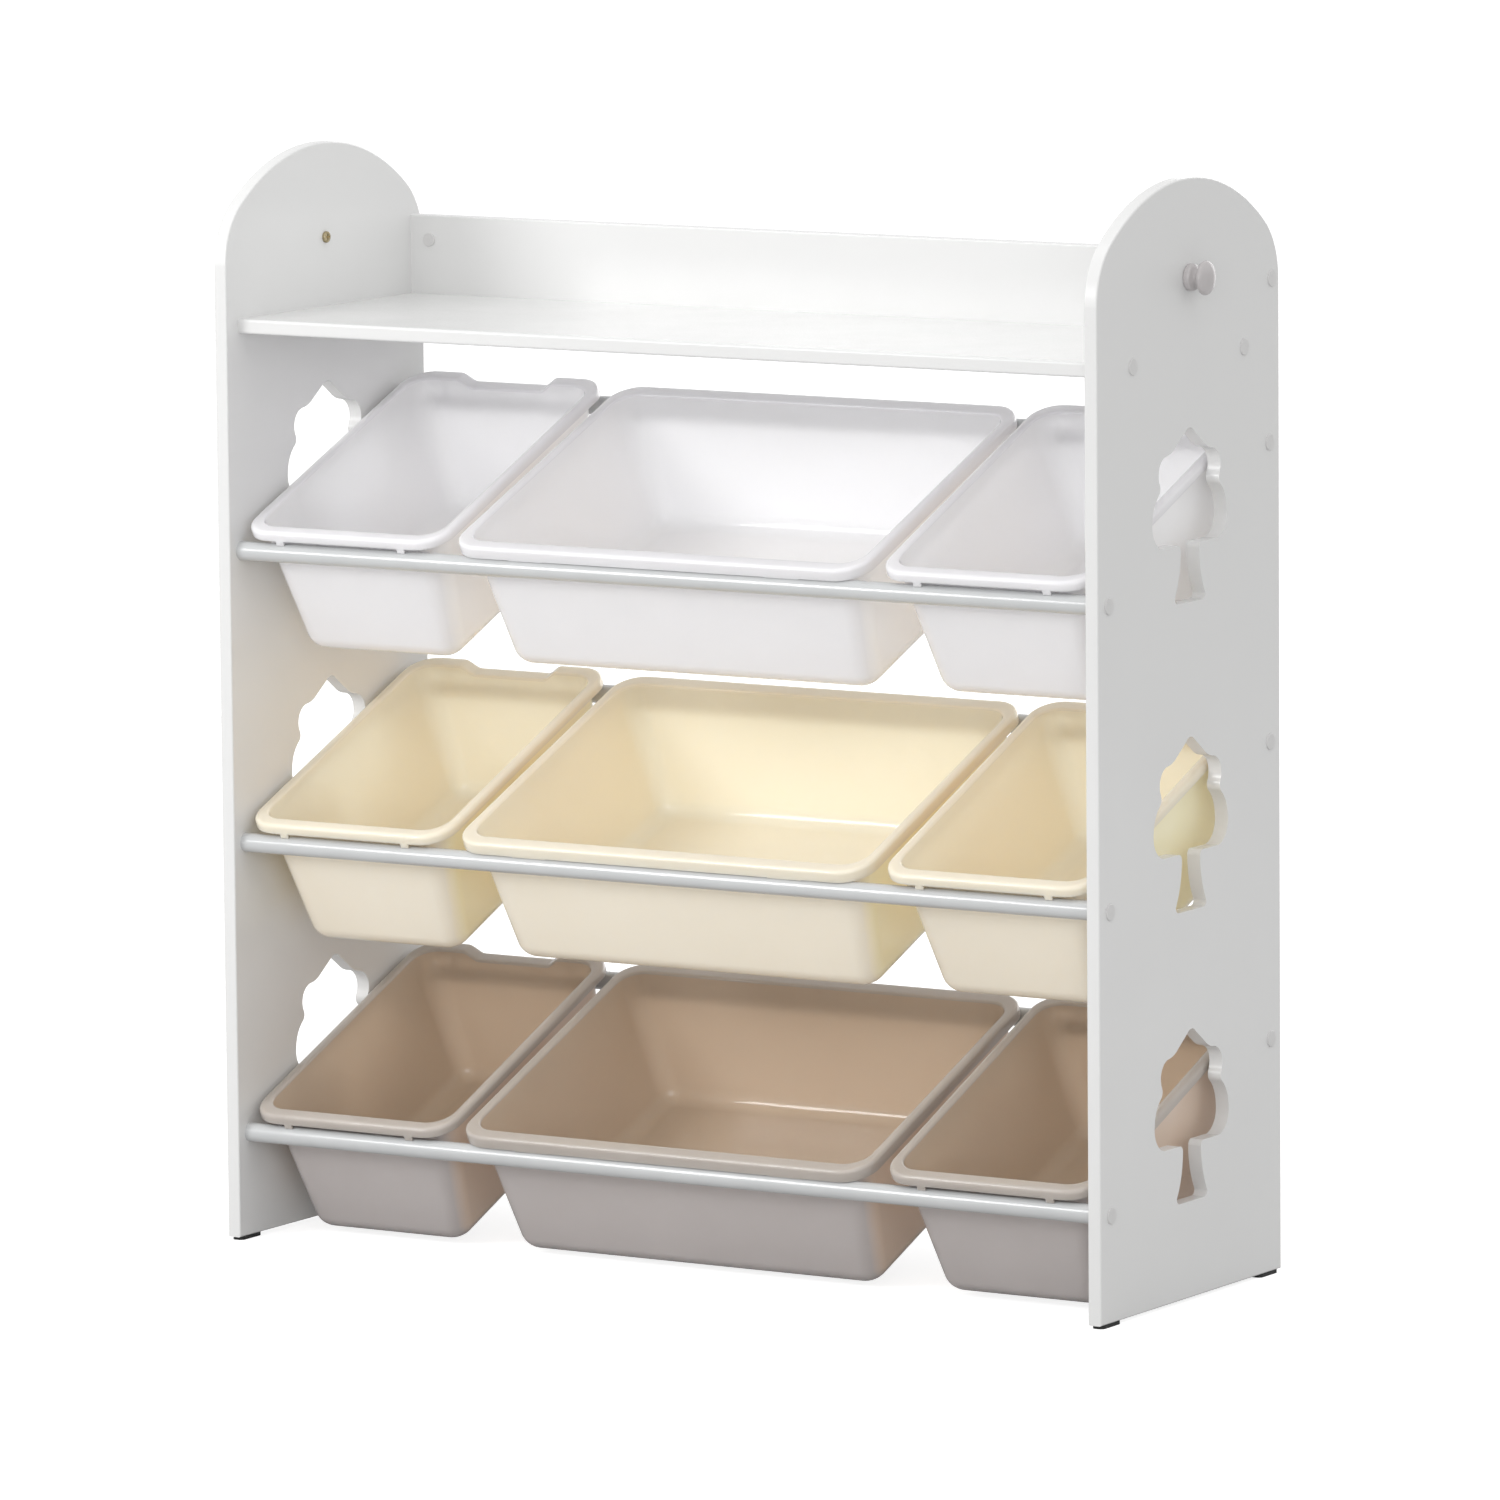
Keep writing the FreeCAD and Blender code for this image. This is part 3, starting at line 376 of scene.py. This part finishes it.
def makeBin(row, column):
    kind = columnLook[column]["kind"]
    slot = rowLook[row]["slot"]
    shape = bmesh.new()
    sections = binSections(kind)
    loops = []
    for place, section in enumerate(sections):
        loops.append(addSection(shape, *section, keepFace=place == len(sections) - 1))
    rimBands = 2 * binLook["roundSteps"] + 2
    for band, pair in enumerate(zip(loops, loops[1:])):
        made = bmesh.ops.bridge_loops(shape, edges=pair[0] + pair[1])
        for face in made["faces"]:
            face.material_index = toneOrder["rim" if band < rimBands else "inside"]
    addTabs(shape, kind)
    if kind == "small":
        lowerNotch(shape)
    bmesh.ops.recalc_face_normals(shape, faces=shape.faces[:])
    floor = min(shape.faces, key=lambda face: face.calc_center_median().z)
    if floor.normal.z < 0:
        bmesh.ops.reverse_faces(shape, faces=shape.faces[:])
    tilt = rowTilt + math.atan(kindLook[kind]["backDrop"] / rodSpan)
    place = Matrix.Translation((columnLook[column]["centre"], -binLook["rodReach"],
                                rowLook[row]["height"]))
    bmesh.ops.transform(shape, matrix=place @ Matrix.Rotation(tilt, 4, "X"), verts=shape.verts[:])
    node = "bin_%s_%s" % (row, column)
    piece = finishPiece("tub_%s_%s" % (row, column), shape, slot, node, node)
    # darker copies of the same plastic for the outer shell and the rim: painted shade
    for part in ("_outside", "_rim"):
        piece.data.materials.append(materials[slot + part])
    wall = piece.modifiers.new("wall", "SOLIDIFY")
    wall.thickness = binLook["wall"]
    wall.offset = -1.0
    wall.use_even_offset = True
    wall.material_offset = toneOrder["outside"]
    soft = piece.modifiers.new("soft", "BEVEL")
    soft.width = binLook["edgeRadius"]
    soft.segments = binLook["edgeSteps"]
    soft.limit_method = "ANGLE"
    soft.angle_limit = math.radians(binLook["edgeAngle"])


for row in rowLook:
    for column in columnLook:
        makeBin(row, column)
print("bins:", len(rowLook) * len(columnLook))


# knobs, turned from one profile of radius and distance from the panel
knobLook = {"face": 0.422, "height": 0.833, "steps": 64, "smoothing": 2, "profile": (
    (0.0, 0.0), (0.0106, 0.0), (0.011, 0.0005), (0.011, 0.0045), (0.0102, 0.0056),
    (0.008, 0.0066), (0.0065, 0.008), (0.0062, 0.0092), (0.0072, 0.0106), (0.0105, 0.012),
    (0.013, 0.0132), (0.014, 0.0146), (0.0139, 0.0162), (0.0128, 0.0176), (0.0095, 0.0185),
    (0.005, 0.0189), (0.0, 0.019))}


def makeKnob(name, side):
    shape = bmesh.new()
    points = [shape.verts.new((out, 0.0, radius)) for radius, out in knobLook["profile"]]
    edges = [shape.edges.new(pair) for pair in zip(points, points[1:])]
    bmesh.ops.spin(shape, geom=points + edges, axis=(1.0, 0.0, 0.0), cent=(0.0, 0.0, 0.0),
                   angle=2 * math.pi, steps=knobLook["steps"], use_merge=True)
    bmesh.ops.remove_doubles(shape, verts=shape.verts[:], dist=tiny)
    turned = Matrix.Rotation(math.pi if side < 0 else 0.0, 4, "Z")
    place = Matrix.Translation((side * knobLook["face"], 0.0, knobLook["height"]))
    bmesh.ops.transform(shape, matrix=place @ turned, verts=shape.verts[:])
    bmesh.ops.recalc_face_normals(shape, faces=shape.faces[:])
    piece = finishPiece("turned_" + name, shape, "knob_grey", "rack", name)
    smooth = piece.modifiers.new("smooth", "SUBSURF")
    smooth.levels = knobLook["smoothing"]
    smooth.render_levels = knobLook["smoothing"]


makeKnob("left_knob", -1)
makeKnob("right_knob", 1)
print("knobs: 2")


# stage, light and camera
stageLook = {"size": 40.0, "floorWhite": 0.5, "floorRough": 0.9, "floorLift": 0.78,
             "worldLight": 0.86, "aim": (0.0, 0.0, 0.45), "bounces": 24, "diffuseBounces": 16}
lamps = {
    "key": {"left": 32.0, "up": 20.0, "away": 2.6, "size": 1.0, "power": 21.0},
    "fill": {"left": -32.0, "up": 12.0, "away": 5.0, "size": 2.6, "power": 44.0},
    "top": {"left": 10.0, "up": 80.0, "away": 4.0, "size": 3.0, "power": 20.0},
    "back": {"left": 180.0, "up": 12.0, "away": 4.0, "size": 3.6, "power": 52.0},
}
view = {"place": (4.7516, -7.6908, 1.6459), "turn": 31.683, "dip": 7.698, "roll": -0.503,
        "focalPixels": 11046.0, "framePixels": 1500.0, "sensor": 36.0, "clipEnd": 100.0}


def makeFloor():  # lifted to white for the eye only
    mesh = bpy.data.meshes.new("floor")
    shape = bmesh.new()
    bmesh.ops.create_grid(shape, x_segments=1, y_segments=1, size=stageLook["size"])
    shape.to_mesh(mesh)
    shape.free()
    floor = bpy.data.objects.new("floor", mesh)
    bpy.context.scene.collection.objects.link(floor)
    material = bpy.data.materials.new("paleFloor")
    material.use_nodes = True
    tree = material.node_tree
    shader = tree.nodes["Principled BSDF"]
    white = stageLook["floorWhite"]
    shader.inputs["Base Color"].default_value = (white, white, white, 1.0)
    shader.inputs["Roughness"].default_value = stageLook["floorRough"]
    shader.inputs["Specular IOR Level"].default_value = 0.0
    shader.inputs["Emission Color"].default_value = (1.0, 1.0, 1.0, 1.0)
    ray = addNode(tree, "ShaderNodeLightPath")
    lift = addNode(tree, "ShaderNodeMath", operation="MULTIPLY")
    lift.inputs[1].default_value = stageLook["floorLift"]
    tree.links.new(ray.outputs["Is Camera Ray"], lift.inputs[0])
    tree.links.new(lift.outputs[0], shader.inputs["Emission Strength"])
    mesh.materials.append(material)


def makeWorld():  # white to the eye, softer as light
    world = bpy.data.worlds.new("studio")
    bpy.context.scene.world = world
    world.use_nodes = True
    tree = world.node_tree
    back = tree.nodes["Background"]
    back.inputs["Color"].default_value = (1.0, 1.0, 1.0, 1.0)
    ray = addNode(tree, "ShaderNodeLightPath")
    level = addNode(tree, "ShaderNodeMapRange")
    level.inputs["To Min"].default_value = stageLook["worldLight"]
    level.inputs["To Max"].default_value = 1.0
    tree.links.new(ray.outputs["Is Camera Ray"], level.inputs["Value"])
    tree.links.new(level.outputs["Result"], back.inputs["Strength"])


def makeLamp(name, look):
    lamp = bpy.data.lights.new(name, "AREA")
    lamp.shape = "DISK"
    lamp.size = look["size"]
    lamp.energy = look["power"]
    holder = bpy.data.objects.new(name, lamp)
    bpy.context.scene.collection.objects.link(holder)
    left = math.radians(look["left"])
    up = math.radians(look["up"])
    out = Vector((-math.sin(left) * math.cos(up), -math.cos(left) * math.cos(up), math.sin(up)))
    holder.visible_camera = False
    holder.location = Vector(stageLook["aim"]) + out * look["away"]
    holder.rotation_euler = out.to_track_quat("Z", "Y").to_euler()


def makeCamera():
    camera = bpy.data.cameras.new("camera")
    camera.sensor_width = view["sensor"]
    camera.lens = view["focalPixels"] / view["framePixels"] * camera.sensor_width
    camera.clip_end = view["clipEnd"]
    holder = bpy.data.objects.new("camera", camera)
    bpy.context.scene.collection.objects.link(holder)
    aim = Euler((math.radians(90.0 - view["dip"]), 0.0, math.radians(view["turn"]))).to_matrix()
    turned = aim @ Matrix.Rotation(math.radians(view["roll"]), 3, "Z")
    holder.matrix_world = Matrix.Translation(view["place"]) @ turned.to_4x4()
    bpy.context.scene.camera = holder


makeFloor()
makeWorld()
for name, look in lamps.items():
    makeLamp(name, look)
makeCamera()
bpy.context.scene.view_settings.view_transform = "Standard"
bpy.context.scene.cycles.max_bounces = stageLook["bounces"]  # light lingers in pale bins
bpy.context.scene.cycles.diffuse_bounces = stageLook["diffuseBounces"]
print("stage, lamps and camera set")
